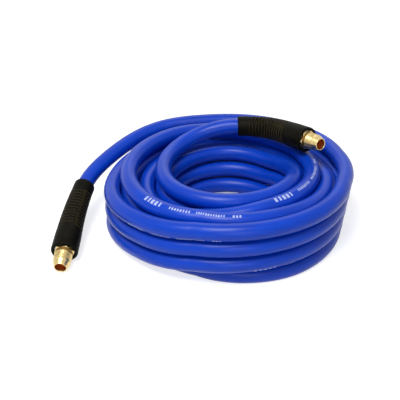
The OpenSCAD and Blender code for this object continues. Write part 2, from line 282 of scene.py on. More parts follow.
class Net:
    """A node tree that is being built."""

    def __init__(self, tree):
        self.tree = tree

    def connect(self, node, sockets):
        """Gives a node's inputs their values or links."""
        for key, given in sockets.items():
            given = given.socket if isinstance(given, Value) else given
            if isinstance(given, bpy.types.NodeSocket):
                self.tree.links.new(given, node.inputs[key])
            else:
                node.inputs[key].default_value = given

    def add(self, kind, sockets=None, **options):
        """Adds a node: its options are set first, then its inputs."""
        node = self.tree.nodes.new(kind)
        for name, option in options.items():
            setattr(node, name, option)
        self.connect(node, sockets or {})
        return node

    def value(self, kind, sockets=None, output=0, **options):
        return Value(self, self.add(kind, sockets, **options).outputs[output])

    def attribute(self, name):
        """A number that a piece's mesh holds at its points, for its material."""
        return self.value("ShaderNodeAttribute", output="Fac", attribute_name=name)

    def uv(self, name):
        return self.parts(self.add("ShaderNodeUVMap", uv_map=name).outputs[0])[:2]

    def place(self):
        return self.add("ShaderNodeTexCoord").outputs["Object"]

    def noise(self, vector, scale, detail):
        sockets = {"Vector": vector, "Scale": scale, "Detail": detail}
        return self.value("ShaderNodeTexNoise", sockets)

    def blend(self, mask, low, high):
        """Colour low where mask is 0 and high where it is 1."""
        low, high = (c if isinstance(c, bpy.types.NodeSocket) else (*c, 1) for c in (low, high))
        sockets = {0: mask, MIX_LOW: low, MIX_HIGH: high}
        return self.add("ShaderNodeMix", sockets, data_type="RGBA").outputs[MIX_COLOUR]

    def bump(self, height, distance, strength):
        sockets = {"Height": height, "Distance": distance, "Strength": strength}
        return self.add("ShaderNodeBump", sockets).outputs[0]

    def vector(self, x, y, z):
        return self.add("ShaderNodeCombineXYZ", {0: x, 1: y, 2: z}).outputs[0]

    def parts(self, vector):
        node = self.add("ShaderNodeSeparateXYZ", {0: vector})
        return [Value(self, out) for out in node.outputs]


# ---- Materials ----

WHITE = (1, 1, 1, 1)
SHINE = "Specular IOR Level"
METAL = {"Metallic": 1.0}

# Groups of plain dashes: where a group starts and ends, how far apart its dashes are, and how
# tall they are as a share of the band
DASH_GROUPS = (
    (0, 21 * MM, 4.2 * MM, 1.0),
    (28 * MM, 48 * MM, 2.6 * MM, 0.5),
    (53 * MM, 79 * MM, 2.2 * MM, 0.45),
    (85 * MM, 93 * MM, 2.8 * MM, 0.45),
)
# A dash's least half width, how much chance adds to it and its soft edge, as shares of the
# pitch, and how far chance shifts it across the band, as a share of the band
DASH_HALF, DASH_MORE, DASH_SOFT, DASH_SHIFT = 0.17, 0.14, 0.08, 0.08
INK_EDGE, GROUP_EDGE = 0.3 * MM, 0.1 * MM


def material(name):
    """A new material with one Principled shader, and its net."""
    made = bpy.data.materials.new(name)
    made.use_nodes = True
    return made, Net(made.node_tree), made.node_tree.nodes["Principled BSDF"]


def toned(rgb, strength):
    return tuple(c * strength for c in rgb)


def coat(net, shader, base, rough, normal, others):
    """Gives a shader its colour, roughness and normal, and its other sockets by name."""
    net.connect(shader, {"Base Color": base, "Roughness": rough, "Normal": normal, **others})


def dashes(net, along, across, ink):
    """Mask of the dashes. along is the length on the hose, across the height from the middle."""
    place = ((along - ink.start) / ink.period).fract() * ink.period
    mask = 0.0
    for first, last, pitch, tall in DASH_GROUPS:
        number = (place - first) / pitch
        sockets = {"W": number.floor() + first / MM}
        chance = net.value("ShaderNodeTexWhiteNoise", sockets, noise_dimensions="1D")
        half = DASH_HALF + chance * DASH_MORE
        bar = 1 - (abs(number.fract() - 0.5) - half).rises(0.0, DASH_SOFT)
        top = ink.band * tall / 2
        shifted = abs(across + (chance - 0.5) * ink.band * DASH_SHIFT)
        high = 1 - shifted.rises(top, top + INK_EDGE)
        mask = mask + bar * high * place.between(first, last, GROUP_EDGE)
    return mask


def hose_skin(hose, ink):
    """Satin blue tube with fine lines left by the die, and inked dashes."""
    made, net, shader = material("hose_skin")
    along, turn = net.uv("hose")
    radius = hose.diameter / 2
    phase = turn * math.tau
    x, y = phase.cos() * radius, phase.sin() * radius

    def drawn(stretch, scale, detail):
        """Noise in the skin, which is drawn out along the hose where stretch is small."""
        return net.noise(net.vector(x, y, along * stretch), scale, detail)

    lines = drawn(stretch=0.01, scale=2600, detail=1)
    waves = drawn(stretch=0.02, scale=560, detail=1)
    cloud = drawn(stretch=0.5, scale=70, detail=3)
    grain = drawn(stretch=1, scale=3200, detail=2)
    tone = (cloud * 0.6 + lines * 0.4).rises(0.3, 0.7)
    across = (turn.fract() - 0.5) * (math.tau * radius)
    worn = grain.rises(0.3, 0.44)
    mask = dashes(net, along, across, ink) * worn * ink.cover
    base = net.blend(mask, net.blend(tone, hose.deep, hose.blue), ink.ink)
    rough = hose.gloss - 0.04 + cloud * 0.1 + mask * 0.1
    height = lines * 0.6 + grain * 0.3 + mask * 0.4 + waves * 2.4
    coat(net, shader, base, rough, net.bump(height, 0.06 * MM, 0.6), {SHINE: hose.shine})
    return made


def moulded_rubber(sizes):
    """Black rubber with a fine grain, a painted highlight on the lip beyond each slot and painted
    shade in its slots.
    """
    made, net, shader = material("moulded_rubber")
    place, groove, lip = net.place(), net.attribute("groove"), net.attribute("lip")
    cloud = net.noise(place, scale=120, detail=4)
    grain = net.noise(place, scale=2400, detail=2)
    pale = tuple(c * 1.7 + 0.001 for c in sizes.black)
    tone = net.blend(cloud.rises(0.35, 0.75), sizes.black, pale)
    # painted highlight along the lip beyond each slot
    tone = net.blend(lip * (0.5 + cloud * 0.5), tone, sizes.highlighted)
    # painted shade down in the slots
    base = net.blend(groove * (0.5 + grain * 0.5), tone, sizes.shade)
    rough = sizes.gloss - 0.06 + cloud * 0.12 + groove * 0.2
    height = grain * 0.5 + cloud * 0.5
    coat(net, shader, base, rough, net.bump(height, 0.1 * MM, 0.5), {SHINE: sizes.shine})
    return made


def turned_brass(sizes):
    """Polished brass with fine turning lines, tarnish and painted shade in its grooves, copper
    brown down the bore.
    """
    made, net, shader = material("turned_brass")
    around, along = net.uv("turned")
    inside, hollow = net.attribute("inside"), net.attribute("hollow")
    cloud = net.noise(net.place(), scale=260, detail=3)
    turning = net.noise(net.vector(around * 0.4, along * 5200, 0), scale=1, detail=1)
    tone = net.blend(cloud.rises(0.35, 0.8), sizes.brass, toned(sizes.brass, 0.72))
    # tarnish and painted shade in the hollow grooves
    tone = net.blend(hollow * (0.6 + cloud * 0.4), tone, sizes.tarnish_and_shade)
    base = net.blend(inside, tone, sizes.copper)
    rough = sizes.gloss + cloud * 0.08 + inside * 0.15 + hollow * 0.2
    height = turning * 0.6 + cloud * 0.4
    coat(net, shader, base, rough, net.bump(height, 0.02 * MM, 0.5), METAL)
    return made


def pressed_steel(sizes):
    """Plated steel of the ferrules, brushed and a little stained."""
    made, net, shader = material("pressed_steel")
    place = net.place()
    cloud = net.noise(place, scale=300, detail=4)
    scratch = net.noise(place, scale=3000, detail=1)
    base = net.blend(cloud.rises(0.3, 0.7), sizes.steel, toned(sizes.steel, 0.6))
    coat(net, shader, base, 0.26 + cloud * 0.16, net.bump(scratch, 0.02 * MM, 0.5), METAL)
    return made


# ---- Meshes ----


def grid_mesh(name, rings, uv, uv_name, closed, way=1):
    """A mesh of rings of points, joined round each ring, and from the last to the first if closed.

    uv holds one more ring and one more point a ring than needed, so that seams have no jump.
    way is -1 for rings that run clockwise, as seen from the next one.
    """
    rows, sides = rings.shape[:2]
    i, j = np.meshgrid(np.arange(rows if closed else rows - 1), np.arange(sides), indexing="ij")
    i, j = i.ravel(), j.ravel()
    corners = ((i, j), (i, j + 1), (i + 1, j + 1), (i + 1, j))
    quads = np.stack([(a % rows) * sides + b % sides for a, b in corners], -1)
    corner_uv = np.stack([uv[corner] for corner in corners], 1)
    mesh = bpy.data.meshes.new(name)
    mesh.from_pydata(rings.reshape(-1, 3), [], quads[:, ::way])
    mesh.uv_layers.new(name=uv_name).data.foreach_set("uv", corner_uv[:, ::way].ravel())
    return mesh


def added(name, data):
    """A new object in the scene."""
    made = bpy.data.objects.new(name, data)
    bpy.context.scene.collection.objects.link(made)
    return made


def show(mesh):
    """Shades a mesh smooth and makes its object."""
    mesh.shade_smooth()
    return added(mesh.name, mesh)


def sharpen(mesh, degrees):
    """Keeps the edges sharp that bend more than an angle."""
    mesh.set_sharp_from_angle(angle=math.radians(degrees))
    mesh.update()


def turned(name, profile, sides, shape=None):
    """A closed profile of (radius, height) points turned round Z. shape may change the radii."""
    profile = np.array(profile)
    turn = np.arange(sides) * math.tau / sides
    radius = np.repeat(profile[:, :1], sides, 1)
    if shape:
        radius = shape(radius, profile[:, 1:], turn[None])
    height = np.repeat(profile[:, 1:], sides, 1)
    rings = np.stack([radius * np.cos(turn), radius * np.sin(turn), height], -1)
    down = far_along(np.concatenate([profile, profile[:1]]))
    uv = np.stack(np.meshgrid(np.arange(sides + 1) / sides, down), -1)
    return grid_mesh(name, rings, uv, "turned", closed=True)


def rule(name, lengths):
    """An empty Geometry Nodes tree with a mesh, some lengths and a material as named inputs."""
    tree = bpy.data.node_groups.new(name, "GeometryNodeTree")
    sockets = [(label, "INPUT", "Float") for label in lengths]
    sockets = [("Geometry", "INPUT", "Geometry"), *sockets, ("Material", "INPUT", "Material")]
    for label, way, kind in (*sockets, ("Geometry", "OUTPUT", "Geometry")):
        tree.interface.new_socket(label, in_out=way, socket_type=f"NodeSocket{kind}")
    net = Net(tree)
    given = net.add("NodeGroupInput")
    values = {label: Value(net, given.outputs[label]) for label in lengths}
    return net, given, values


def finish_rule(net, given, geometry):
    whole = net.add("GeometryNodeRealizeInstances", {"Geometry": geometry}).outputs[0]
    sockets = {"Geometry": whole, "Material": given.outputs["Material"]}
    painted = net.add("GeometryNodeSetMaterial", sockets).outputs[0]
    net.add("NodeGroupOutput", {0: painted})
    return net.tree


def cylinder_place(net):
    """X, Y, height, radius and angle of a point, for a rule on a piece turned round Z."""
    x, y, z = net.parts(net.add("GeometryNodeInputPosition").outputs[0])
    return x, y, z, (x * x + y * y).math("SQRT"), y.math("ARCTAN2", x)


def outside(radius, bore):
    """1 on a piece's skin and 0 in its bore."""
    return (radius - bore).rises(0.5 * MM, 0.6 * MM)


def moved_in(net, geometry, x, y, z, radius, depth):
    """Moves each point in towards Z by a depth."""
    scale = 1 - depth / radius
    sockets = {"Geometry": geometry, "Position": net.vector(x * scale, y * scale, z)}
    return net.add("GeometryNodeSetPosition", sockets).outputs[0]


def stored(net, geometry, name, value):
    """Keeps a number at each point, for the material to read."""
    sockets = {"Geometry": geometry, "Name": name, "Value": value}
    options = {"data_type": "FLOAT", "domain": "POINT"}
    return net.add("GeometryNodeStoreNamedAttribute", sockets, **options).outputs[0]


# Where the painted highlight on the lip beyond a slot starts to fade and where it is gone, in slot
# edges
LIP_FADE = 1.5, 2.25
# A step so short that it counts as sudden, in rows
SUDDEN = 0.01


def slot_rule(lengths):
    """Presses rows of slots into a sleeve, in pairs, each pair a quarter turn from the last."""
    net, given, size = rule("slot_rows", lengths)
    x, y, z, radius, turn = cylinder_place(net)
    step = size["Pitch"] / 2
    along = (0 - z) - size["Grip"] - step
    row = (along / step).floor()
    within = along - row * step
    odd = (row / 2).fract() * math.pi
    folded = abs((turn + odd + math.pi / 2).math("FLOORED_MODULO", math.pi) - math.pi / 2)
    depth_in = within.math("MINIMUM", size["Width"] - within)
    lengthwise = depth_in.rises(0.0, size["Edge"])
    past = within - size["Width"] + size["Edge"]
    # mask of the painted highlight on the lip beyond each slot
    lip = past.rises(0.0, size["Edge"]) * (1 - (past / size["Edge"]).rises(*LIP_FADE))
    sideways = ((size["Arc"] / 2 - folded) * radius).rises(0.0, size["Edge"] * 3)
    middle = row + 0.5
    rows = middle.rises(0.0, SUDDEN) * (1 - (middle - size["Rows"]).rises(0.0, SUDDEN))
    there = sideways * rows * outside(radius, size["Bore"])
    depth = lengthwise * there * size["Depth"]
    shape = moved_in(net, given.outputs[0], x, y, z, radius, depth)
    # groove carries the painted shade in the slots, lip the painted highlight beyond them
    shape = stored(net, shape, "groove", lengthwise * there)
    shape = stored(net, shape, "lip", lip * there)
    return finish_rule(net, given, shape)


def thread_rule(lengths):
    """Cuts a rounded helical thread into a turned piece."""
    net, given, size = rule("helical_thread", lengths)
    x, y, z, radius, turn = cylinder_place(net)
    wave = 0.5 - ((z / size["Pitch"]) * math.tau - turn).cos() * 0.5
    fades = [far.rises(0.0, size["Fade"]) for far in (z - size["Start"], size["End"] - z)]
    cut = wave * fades[0] * fades[1] * outside(radius, size["Bore"])
    shape = moved_in(net, given.outputs[0], x, y, z, radius, cut * size["Depth"])
    held = net.value("GeometryNodeInputNamedAttribute", {"Name": "hollow"}, data_type="FLOAT")
    # the thread's grooves join the hollow mask, for tarnish and painted shade there
    return finish_rule(net, given, stored(net, shape, "hollow", held + cut * 0.5))


# ---- The winding and the two fittings, as the model has them ----

# Where a loop drops or rises a layer, in degrees round the coil from its right, and the arc that
# this takes, for the first and the second pair of columns
DROP_AT, DROP_ARC = (375, 345), (86, 140)
RISE_AT, RISE_ARC = (255, 225), (100, 120)
# The same for the step to the next column, on the floor and on top
UNDER_AT, UNDER_ARC = (300, 270), 80
OVER_AT, OVER_ARC = 95, 80
# Share of such a step that is rounded at each end
RAMP_ROUND = 0.25
# Where the coil starts, its arc after the last whole loop, and the rings of a loop
COIL_START, LAST_ARC, SOLID_RINGS = 165, 105, 24
# How far into the coil a free stretch is evened out, and over what length
ROUNDED_ON, ROUNDED_OVER = 60 * MM, 16 * MM
FLOOR_GAP = 0.3 * MM
# Where the restrictors' mouths are, from the coil's outside, inside and top
MOUTH_A_OUT, MOUTH_A_Y = 40.6 * MM, -78.3 * MM
MOUTH_B_OUT, MOUTH_B_Y, MOUTH_B_UP = 17.1 * MM, 16.3 * MM, 15.9 * MM
# Points of the free stretches in millimetres, their heights from the top layer's middle, and
# the steps from one to the next
LEAD_TURNS = {"a": ((-83, 99, -4), (-115, 65, -10)), "b": ((-44, 55, 3), (-18, 68, 11))}
LEAD_STEPS = 24
# Angles of the fittings in degrees, and the side that the hose bends to
FITTINGS = {
    "a": {"heading": 268, "pitch": -14, "roll": 9, "bend": 8, "side": -1},
    "b": {"heading": 307, "pitch": 7, "roll": 4, "bend": 54.5, "side": 1},
}
# Middle of the whole object, in the coil's own frame
MIDDLE = np.array([-20.9713, 3.1394, 0]) * MM


def unit(v):
    return v / np.linalg.norm(v, axis=-1, keepdims=True)


def far_along(line):
    """How far each point of a line is from its first, measured along it."""
    return np.append(0, np.cumsum(np.linalg.norm(np.diff(line, axis=0), axis=1)))


def ramp(turn, at, arc):
    """Climbs from 0 to 1 over an arc round a place, rounded at both ends."""
    t = np.clip((turn - at) / arc + 0.5, 0, 1)
    e, k = RAMP_ROUND, 1 / (1 - RAMP_ROUND)
    late = 1 - k * (1 - t) ** 2 / (2 * e)
    return np.where(t < e, k * t * t / (2 * e), np.where(t > 1 - e, late, k * (t - e / 2)))


def rounded_off(points, at, first, last):
    """Evens out a line's bends between two lengths along it, as a stiff hose does of itself."""
    inside = slice(np.searchsorted(at, first), np.searchsorted(at, last))
    part = points[inside].copy()
    even = np.diff(np.eye(len(part)), 2, axis=0)
    stiff = even.T @ even * (ROUNDED_OVER / (at[1] - at[0])) ** 4
    stiff += np.eye(len(part))
    held = [0, 1, -2, -1]
    stiff[held] = np.eye(len(part))[held]
    points = points.copy()
    points[inside] = np.linalg.solve(stiff, part)
    return points


class Winding:
    """Where the hose lies, in metres in the coil's own frame. Its angles are in degrees."""

    def __init__(self, hose, sleeve):
        self.hose, self.sleeve = hose, sleeve
        self.radius = hose.diameter / 2
        self.column_step = hose.diameter + hose.column_gap
        self.layer_step = hose.diameter + hose.layer_gap
        self.pairs = hose.columns // 2
        self.pair_turns = 2 * hose.layers - 1
        self.end = self.pairs * self.pair_turns * 360 + LAST_ARC
        self.floor_z = self.radius - hose.diameter / 10  # the hose is pressed flat by a tenth
        self.top_z = self.floor_z + self.layer_step * (hose.layers - 1)
        self.outer = hose.eye + self.column_step * (hose.columns - 1)
        self.hose_end = -sleeve.grip - sleeve.flex

    def layer(self, turn):
        level = np.full_like(turn, self.hose.layers - 1, dtype=float)
        for pair in range(self.pairs):
            first = pair * self.pair_turns * 360
            for i in range(self.hose.layers - 1):
                drop, rise = first + i * 360, first + (i + self.hose.layers) * 360
                level -= ramp(turn, drop + DROP_AT[pair], DROP_ARC[pair])
                level += ramp(turn, rise + RISE_AT[pair], RISE_ARC[pair])
        return level

    def column(self, turn):
        at = np.zeros_like(turn, dtype=float)
        for pair in range(self.pairs):
            first = pair * self.pair_turns * 360
            at += ramp(turn, first + (self.hose.layers - 1) * 360 + UNDER_AT[pair], UNDER_ARC)
            if pair:
                at += ramp(turn, first + OVER_AT, OVER_ARC)
        return at

    def out(self, turn):
        """How far each point's column stands out from the first."""

        def part(at, arc):
            return ramp((turn - at + 180) % 360 + at - 180, at, arc)

        level = []
        for pair in range(self.pairs):
            level += [-part(DROP_AT[pair], DROP_ARC[pair]), part(RISE_AT[pair], RISE_ARC[pair])]
        places = [np.zeros_like(turn)]
        for inner, outer in zip(level, level[1:]):
            off = (inner - outer + 0.5) % 1 - 0.5
            width = np.sqrt(self.column_step**2 - (self.layer_step * off) ** 2)
            lean = self.hose.layer_lean + self.hose.layer_shift
            places.append(places[-1] + width + lean * np.abs(off))
        places, column = np.array(places), self.column(turn)
        low = np.minimum(column.astype(int), len(places) - 2)
        i = np.arange(len(turn))
        return places[low, i] * (1 - column + low) + places[low + 1, i] * (column - low)

    def coil(self, turn):
        """Points of the coil's centreline, at degrees that count on from loop to loop."""
        turn = np.asarray(turn, float)
        hose, layer, top = self.hose, self.layer(turn), self.hose.layers - 1
        phase = np.radians(turn)
        back = np.maximum(0, np.sin(phase)) ** 3 * layer**2 * (top - layer) / 2
        r = hose.eye + self.out(turn) + hose.right_bulge * np.maximum(0, np.cos(phase)) ** 2
        r = r + hose.layer_lean * layer + hose.back_lean * back
        x = r * np.cos(phase) - hose.layer_shift * (top - layer)
        return np.stack([x, r * np.sin(phase), self.floor_z + self.layer_step * layer], -1)

    def axes(self, end):
        """Rows: the fitting's X, Y and Z. Z leads out along the nipple; the hose bends to X."""
        way = FITTINGS[end]
        h, p, r = (math.radians(way[k]) for k in ("heading", "pitch", "roll"))
        ahead = np.array([math.cos(h), math.sin(h), 0])
        flat = way["side"] * np.array([math.sin(h), -math.cos(h), 0])
        z = math.cos(p) * ahead + [0, 0, math.sin(p)]
        lift = -math.sin(p) * ahead + [0, 0, math.cos(p)]
        x = math.cos(r) * flat + math.sin(r) * lift
        return np.array([x, np.cross(z, x), z])

    def mouth(self, end):
        """Middle of the restrictor's mouth."""
        if end == "b":
            up = self.top_z + self.radius + MOUTH_B_UP
            return np.array([self.hose.eye + MOUTH_B_OUT, MOUTH_B_Y, up])
        edge, p = self.sleeve.mouth_round, math.radians(FITTINGS["a"]["pitch"])
        rim = (self.sleeve.grip_diameter / 2 - edge) * math.cos(p) + edge * (1 + math.sin(p))
        return np.array([-self.outer - MOUTH_A_OUT, MOUTH_A_Y, FLOOR_GAP + rim])

    def bent(self, points, end):
        """Bends what lies behind the straight grip, in the fitting's own frame."""
        bend, grip = math.radians(FITTINGS[end]["bend"]), self.sleeve.grip
        r = self.sleeve.flex / bend
        x, y, z = points.T
        behind = np.maximum(0, -grip - z)
        turn = behind / r
        ahead = np.maximum(z, -grip)
        return np.stack([r - (r - x) * np.cos(turn), y, ahead - (r - x) * np.sin(turn)], -1)

    def placed(self, points, end):
        """From the fitting's own frame to the row's."""
        return points @ self.axes(end) + self.mouth(end) - MIDDLE

    def way_in(self, end):
        """Way of the hose into the restrictor at its hose end."""
        bend, axes = math.radians(FITTINGS[end]["bend"]), self.axes(end)
        return axes[2] * math.cos(bend) - axes[0] * math.sin(bend)

    def in_fitting(self, z, end):
        """Points of the hose inside a restrictor, at heights of the fitting's own frame."""
        return self.placed(self.bent(np.stack([z * 0, z * 0, z], -1), end), end) + MIDDLE

    def lead(self, start, start_way, end):
        """The free stretch from the coil to a restrictor: a cubic through a few points."""
        points = [np.array(p) * MM + [0, 0, self.top_z] for p in LEAD_TURNS[end]]
        points = [start, *points, self.in_fitting(np.array([self.hose_end]), end)[0]]
        slopes = [(points[i + 1] - points[i - 1]) / 2 for i in range(1, len(points) - 1)]
        first = start_way * np.linalg.norm(points[1] - points[0])
        final = self.way_in(end) * np.linalg.norm(points[-1] - points[-2])
        slopes = [first, *slopes, final]
        t = np.arange(LEAD_STEPS) / LEAD_STEPS
        near, far = 2 * t**3 - 3 * t**2 + 1, 3 * t**2 - 2 * t**3
        cubic = np.stack([near, t**3 - 2 * t**2 + t, far, t**3 - t**2], -1)
        knots = np.stack([points, slopes], 1)
        return np.concatenate([cubic @ np.vstack(pair) for pair in zip(knots, knots[1:])])

    def route(self, stop, step):
        """The hose's whole centreline, from nipple B to nipple A, with points a step apart.

        Also gives each point's angle round the coil, which is held on the leads.
        """
        coil_turn = np.arange(COIL_START, self.end + 0.5, 1.0)
        coil = self.coil(coil_turn)
        ring = 360 / SOLID_RINGS
        out_b = unit(coil[0] - self.coil([COIL_START + ring])[0])
        out_a = unit(coil[-1] - self.coil([self.end - ring])[0])
        tip_b, tip_a = coil[0] + out_b * 2 * self.radius, coil[-1] + out_a * 2 * self.radius
        lead_b, lead_a = self.lead(tip_b, out_b, "b"), self.lead(tip_a, out_a, "a")
        heights = np.append(np.arange(self.hose_end, stop, 1 * MM), stop)
        end_b, end_a = (self.in_fitting(heights, end) for end in "ba")
        line = np.concatenate([end_b[::-1], lead_b[::-1], coil, lead_a, end_a]) - MIDDLE
        before, after = len(end_b) + len(lead_b), len(lead_a) + len(end_a)
        turns = np.pad(coil_turn, (before, after), mode="edge")
        far = far_along(line)
        at = np.linspace(0, far[-1], round(far[-1] / step) + 1)
        points = np.stack([np.interp(at, far, line[:, k]) for k in range(3)], -1)
        free_b = far[len(end_b)], far[before] + ROUNDED_ON
        free_a = far[-after] - ROUNDED_ON, far[-len(end_a)]
        for first, last in (free_b, free_a):
            points = rounded_off(points, at, first, last)
        return points, at, np.interp(at, far, turns)


def winding():
    return Winding(settings().hose, settings().restrictor)


def grown(mesh, tree, inputs, end, sharp, name):
    """A mesh that a Geometry Nodes tree works on, made plain again and set in its fitting."""
    made, lay = show(mesh), winding()
    modifier = made.modifiers.new("rule", "NODES")
    modifier.node_group = tree
    for item in tree.interface.items_tree:
        if item.in_out == "INPUT" and item.name in inputs:
            modifier[item.identifier] = inputs[item.name]
    evaluated = made.evaluated_get(bpy.context.evaluated_depsgraph_get())
    mesh = bpy.data.meshes.new_from_object(evaluated)
    made.modifiers.remove(modifier)
    made.data = mesh
    points = np.empty(len(mesh.vertices) * 3)
    mesh.vertices.foreach_get("co", points)
    points = lay.placed(lay.bent(points.reshape(-1, 3), end), end)
    mesh.vertices.foreach_set("co", points.ravel())
    sharpen(mesh, sharp)
    made.name = f"{name}_{end}"
    return made


def hose_stop():
    nipple = settings().nipple
    return -nipple.hex_seat - nipple.ferrule_lip


# ---- Operators ----


class AIRHOSE_OT_camera(bpy.types.Operator):
    """Sets up the camera"""

    bl_idname = "airhose.camera"
    bl_label = "Camera"

    def execute(self, context):
        studio = settings().studio
        data = bpy.data.cameras.new("camera")
        data.lens = studio.lens
        data.sensor_width = 36
        data.shift_x, data.shift_y = studio.shift
        camera = added("camera", data)
        back = Vector((0, -math.cos(studio.elevation), math.sin(studio.elevation)))
        camera.location = Vector(studio.target) + back * studio.distance
        camera.rotation_euler = (-back).to_track_quat("-Z", "Y").to_euler()
        context.scene.camera = camera
        return {"FINISHED"}


# How far the hose is hollow behind a ferrule
PAST_FERRULE = 2 * MM
# Where the dashes face, in degrees up from the outside of the coil, at some of its angles
PRINT_FACES = ((165, -10), (2200, -10), (2440, 70), (2800, 66), (3960, -50), (5145, -38))


class AIRHOSE_OT_hose(bpy.types.Operator):
    """Winds the hose as one tube from nipple to nipple"""

    bl_idname = "airhose.hose"
    bl_label = "Hose"

    def execute(self, context):
        hose, ink, nipple = settings().hose, settings().ink, settings().nipple
        line, at, turns = winding().route(hose_stop(), hose.ring_step)
        radius, bore = hose.diameter / 2, hose.bore / 2
        way = unit(np.gradient(line, axis=0))
        side = unit(np.cross(way, [0, 0, 1]))
        up = np.cross(side, way)
        turn = np.arange(hose.sides) * math.tau / hose.sides

        def rings(rows, r):
            across, upwards = np.cos(turn)[:, None], np.sin(turn)[:, None]
            spread = across * side[rows, None] + upwards * up[rows, None]
            points = line[rows, None] + r * spread
            points[..., 2] = np.maximum(points[..., 2], 0)
            return points

        # from the bottom of one blind bore out to its end, along the skin, and in at the other end
        depth = round((nipple.ferrule_length + PAST_FERRULE) / hose.ring_step)
        whole = np.arange(len(line))
        first, last = whole[depth::-1], whole[: -2 - depth : -1]
        runs = ((first[:1], 0), (first, bore), (whole, radius), (last, bore), (last[-1:], 0))
        tube = np.concatenate([rings(rows, r) for rows, r in runs])
        order = np.concatenate([rows for rows, _ in runs])
        faces = np.interp(turns, *np.array(PRINT_FACES).T) / 360
        around = np.arange(hose.sides + 1)[None] / hose.sides - faces[order][:, None] + 0.5
        uv = np.stack([np.repeat(at[order][:, None], hose.sides + 1, 1), around], -1)
        mesh = grid_mesh("hose", tube, uv, "hose", closed=False, way=-1)
        mesh = with_poles(mesh, hose.sides)
        made = show(mesh)
        sharpen(mesh, degrees=50)
        mesh.materials.append(hose_skin(hose, ink))
        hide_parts("hose_coil", "hose_lead_a", "hose_lead_b", "hose_end_a", "hose_end_b")
        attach(made, ROOT)
        made["route"] = line.ravel().tolist()
        return {"FINISHED"}


def hex_corner(nipple):
    return nipple.hex_flats / 2 / math.cos(math.pi / 6)


def with_poles(mesh, sides):
    """Merges the first and the last ring of a mesh, which have no size, to a point each."""
    work = bmesh.new()
    work.from_mesh(mesh)
    work.verts.ensure_lookup_table()
    poles = [*work.verts[:sides], *work.verts[-sides:]]
    bmesh.ops.remove_doubles(work, verts=poles, dist=NEAR)
    work.to_mesh(mesh)
    work.free()
    return mesh


# Rounding of the restrictor's collar, its room round the hexagon, the eased edges of its bore
# and of its recess, and how far apart the rings of its bore are
COLLAR_ROUND, HEX_ROOM = 1.2 * MM, 0.3 * MM
BORE_EASE, RECESS_EASE, BORE_ROW = 0.5 * MM, 0.2 * MM, 2 * MM


class AIRHOSE_OT_restrictors(bpy.types.Operator):
    """Moulds the two slotted bend restrictors"""

    bl_idname = "airhose.restrictors"
    bl_label = "Bend restrictors"

    def execute(self, context):
        size, nipple, hose = settings().restrictor, settings().nipple, settings().hose
        bore = hose.diameter / 2 + size.gap
        ferrule = hose.diameter / 2 + nipple.fit + nipple.ferrule_wall + size.gap
        recess = hex_corner(nipple) + HEX_ROOM
        taper, step = size.flex - size.collar, size.slot_pitch / 2
        rows = 2 * int(taper / size.slot_pitch) - 2
        back, edge, tip = winding().hose_end, size.slot_edge, COLLAR_ROUND
        # where rings of points lie: across each slot and over the lip beyond it that carries a
        # painted highlight, and on the collar
        cuts = [0, edge / 2, edge, size.slot_width / 2]
        cuts += [size.slot_width - c for c in cuts[2::-1]]
        cuts += [size.slot_width + edge * far for far in (0.5, 1.25)]
        marks = [step * (1 + row) + cut for row in range(-size.grip_rows, rows) for cut in cuts]
        marks = sorted({round(m, 7) for m in (*marks, 0, taper, taper + 4 * MM)}, reverse=True)

        def outer(behind):
            """Outer radius behind the grip, or over it where behind is less than 0."""
            far, other = min(1, behind / taper), size.collar_diameter
            if behind < 0:
                far, other = -behind / size.cone, size.shoulder_diameter
            return (size.flex_diameter + (other - size.flex_diameter) * far) / 2

        quarter = np.radians(np.arange(0, 91, 15))
        rim = size.collar_diameter / 2 - tip
        profile = [(bore, back + BORE_EASE), (bore + BORE_EASE, back)]
        profile += [(rim + tip * math.sin(a), back + tip * (1 - math.cos(a))) for a in quarter]
        profile += [(outer(m), -size.grip - m) for m in marks]
        profile += [(size.shoulder_diameter / 2, size.cone - size.grip)]
        mouth, curl = size.grip_diameter / 2, size.mouth_round
        profile += [(mouth - curl * (1 - math.cos(a)), -curl * (1 - math.sin(a))) for a in quarter]
        seat = -nipple.hex_seat
        deep = seat - nipple.ferrule_length
        profile += [(recess + RECESS_EASE, 0), (recess, -RECESS_EASE), (recess, seat)]
        profile += [(ferrule, seat), (ferrule, deep), (bore, deep)]
        profile += [(bore, z) for z in np.arange(-size.grip, back + BORE_ROW / 2, -BORE_ROW)]
        lengths = {
            "Grip": size.grip - step * size.grip_rows,
            "Pitch": size.slot_pitch,
            "Width": size.slot_width,
            "Depth": size.slot_depth,
            "Arc": size.slot_arc,
            "Edge": edge,
            "Rows": float(rows + size.grip_rows),
            "Bore": bore,
        }
        tree, inputs = slot_rule(lengths), {**lengths, "Material": moulded_rubber(size)}
        for end in FITTINGS:
            mesh = turned(f"bend_restrictor_{end}", profile, size.sides)
            made = grown(mesh, tree, inputs, end, sharp=45, name="bend_restrictor_sleeve")
            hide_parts(f"bend_restrictor_{end}")
            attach(made, ROOT)
        return {"FINISHED"}


# Eased edges and fillet of the nipple, distance of its rings on the thread, and the thread's taper
EASE, FILLET, THREAD_ROW, TAPER = 0.3 * MM, 0.2 * MM, 0.11 * MM, 1 / 32
# Depth of the undercut, the thread's run-in, the mouth's rounding and the slope in the bore
UNDERCUT_DEPTH, RUN_IN, LIP, SLOPE = 1 * MM, 0.5 * MM, 0.35 * MM, 1 * MM
# Where a barb is highest and where it has fallen off again, as shares of its length
BARB_PEAK, BARB_END = 0.75, 0.8


